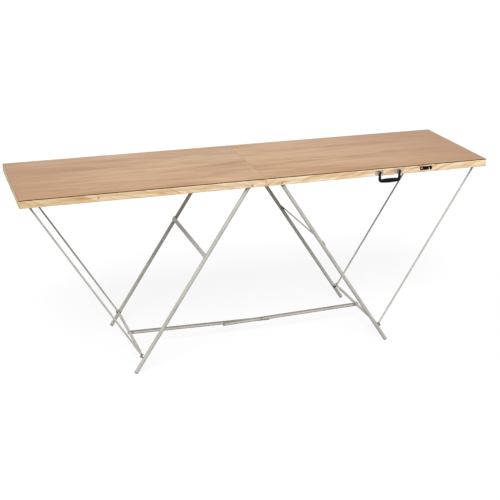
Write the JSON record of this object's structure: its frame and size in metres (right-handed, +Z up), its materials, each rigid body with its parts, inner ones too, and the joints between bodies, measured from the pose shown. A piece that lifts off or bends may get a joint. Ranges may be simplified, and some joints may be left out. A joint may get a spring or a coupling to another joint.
{
  "type": "folding wallpaper pasting table",
  "caption": "Folding pasting table with a thin wooden top hinged in the middle, steel leg frames, propping stays, a jointed spreader, a carrying handle and a latch.",
  "frame": {"origin": "on the floor under the middle of the open table's box, with the carrying handle and the bolt heads counted in", "axes": "+X along the table to its right end as seen from the front, -Y towards the front with the handle and latch, +Z up"},
  "size_m": [2, 0.5804, 0.8],
  "materials": {
    "plywood": "thin tan plywood with fine lengthwise grain, bare and slightly satin",
    "pine": "pale planed pine with a slanting grain, bare",
    "frame_paint": "warm light grey satin coating on steel tube and rod",
    "hinge_steel": "zinc plated hinge leaf",
    "bracket_steel": "plated steel bracket with a warm tint",
    "bright_steel": "bright plated steel",
    "dark_steel": "dark oiled steel",
    "black_steel": "black coated latch plate",
    "black_plastic": "black moulded plastic grip, slightly glossy",
    "foot_plastic": "dark plastic plug",
    "brass": "dull brass stud"
  },
  "bodies": {
    "left_half": {"front_hinge_pin": "dark_steel", "latch_stud": "brass", "left_end_rail": "pine", "left_front_hinge_leaf": "hinge_steel", "left_front_leg_bolt": "bright_steel", "left_front_leg_nut": "bright_steel", "left_front_rail": "pine", "left_front_stay_bracket": "bracket_steel", "left_rear_hinge_leaf": "hinge_steel", "left_rear_leg_bolt": "bright_steel", "left_rear_leg_nut": "bright_steel", "left_rear_rail": "pine", "left_rear_stay_bracket": "bracket_steel", "left_seam_rail": "pine", "left_top_sheet": "plywood", "rear_hinge_pin": "dark_steel"},
    "right_half": {"inner_handle_mount": "bright_steel", "latch_screw": "bright_steel", "outer_handle_mount": "bright_steel", "right_end_rail": "pine", "right_front_hinge_leaf": "hinge_steel", "right_front_leg_bolt": "bright_steel", "right_front_leg_nut": "bright_steel", "right_front_rail": "pine", "right_front_stay_bracket": "bracket_steel", "right_rear_hinge_leaf": "hinge_steel", "right_rear_leg_bolt": "bright_steel", "right_rear_leg_nut": "bright_steel", "right_rear_rail": "pine", "right_rear_stay_bracket": "bracket_steel", "right_seam_rail": "pine", "right_top_sheet": "plywood"},
    "left_leg_frame": {"left_cross_strip": "frame_paint", "left_front_foot_plug": "foot_plastic", "left_front_leg": "frame_paint", "left_front_rod_hook": "dark_steel", "left_rear_foot_plug": "foot_plastic", "left_rear_leg": "frame_paint", "left_rear_rod_hook": "dark_steel"},
    "right_leg_frame": {"right_cross_strip": "frame_paint", "right_front_foot_plug": "foot_plastic", "right_front_leg": "frame_paint", "right_front_rod_hook": "dark_steel", "right_rear_foot_plug": "foot_plastic", "right_rear_leg": "frame_paint", "right_rear_rod_hook": "dark_steel"},
    "left_stay": {"left_cross_rod_sleeve": "frame_paint", "left_front_stay_rod": "frame_paint", "left_rear_stay_rod": "frame_paint", "left_stay_cross_rod": "frame_paint"},
    "right_stay": {"right_cross_rod_sleeve": "frame_paint", "right_front_stay_rod": "frame_paint", "right_rear_stay_rod": "frame_paint", "right_stay_cross_rod": "frame_paint"},
    "left_spreader": {"left_spreader_bar": "frame_paint"},
    "right_spreader": {"right_spreader_bar": "frame_paint", "spreader_rivet": "bright_steel"},
    "handle": {"handle_grip": "black_plastic"},
    "latch": {"latch_plate": "black_steel"}
  },
  "joints": [
    {"name": "middle_fold", "type": "hinge", "parent": "left_half", "child": "right_half", "pos_m": [0, 0.0081, 0.7667], "axis": [0, 1, 0], "range_deg": [0, 65]},
    {"name": "left_leg_fold", "type": "hinge", "parent": "left_half", "child": "left_leg_frame", "pos_m": [-0.064, 0.0081, 0.7762], "axis": [0, 1, 0], "range_deg": [0, 57.1]},
    {"name": "left_stay_fold", "type": "hinge", "parent": "left_half", "child": "left_stay", "pos_m": [-0.967, 0.0081, 0.7747], "axis": [0, -1, 0], "range_deg": [0, 58.24]},
    {"name": "left_spreader_fold", "type": "hinge", "parent": "left_stay", "child": "left_spreader", "pos_m": [-0.5321, 0.0081, 0.07287], "axis": [0, 1, 0], "range_deg": [0, 236.87]},
    {"name": "right_leg_fold", "type": "hinge", "parent": "right_half", "child": "right_leg_frame", "pos_m": [0.064, 0.0081, 0.7762], "axis": [0, -1, 0], "range_deg": [0, 57.1]},
    {"name": "right_stay_fold", "type": "hinge", "parent": "right_half", "child": "right_stay", "pos_m": [0.967, 0.0081, 0.7747], "axis": [0, 1, 0], "range_deg": [0, 58.24]},
    {"name": "right_spreader_fold", "type": "hinge", "parent": "right_stay", "child": "right_spreader", "pos_m": [0.5321, 0.0081, 0.07287], "axis": [0, -1, 0], "range_deg": [0, 236.87]},
    {"name": "handle_swing", "type": "hinge", "parent": "right_half", "child": "handle", "pos_m": [0.542, -0.2804, 0.7832], "axis": [-1, 0, 0], "range_deg": [0, 90]},
    {"name": "latch_turn", "type": "hinge", "parent": "right_half", "child": "latch", "pos_m": [0.6935, -0.2719, 0.7842], "axis": [0, 1, 0], "range_deg": [0, 90]}
  ],
  "couplings": [
    {"joint": "left_stay_fold", "follows": "left_leg_fold", "ratio": 1.0195},
    {"joint": "left_spreader_fold", "follows": "left_leg_fold", "ratio": 4.1474},
    {"joint": "right_stay_fold", "follows": "right_leg_fold", "ratio": 1.0195},
    {"joint": "right_spreader_fold", "follows": "right_leg_fold", "ratio": 4.1474}
  ]
}
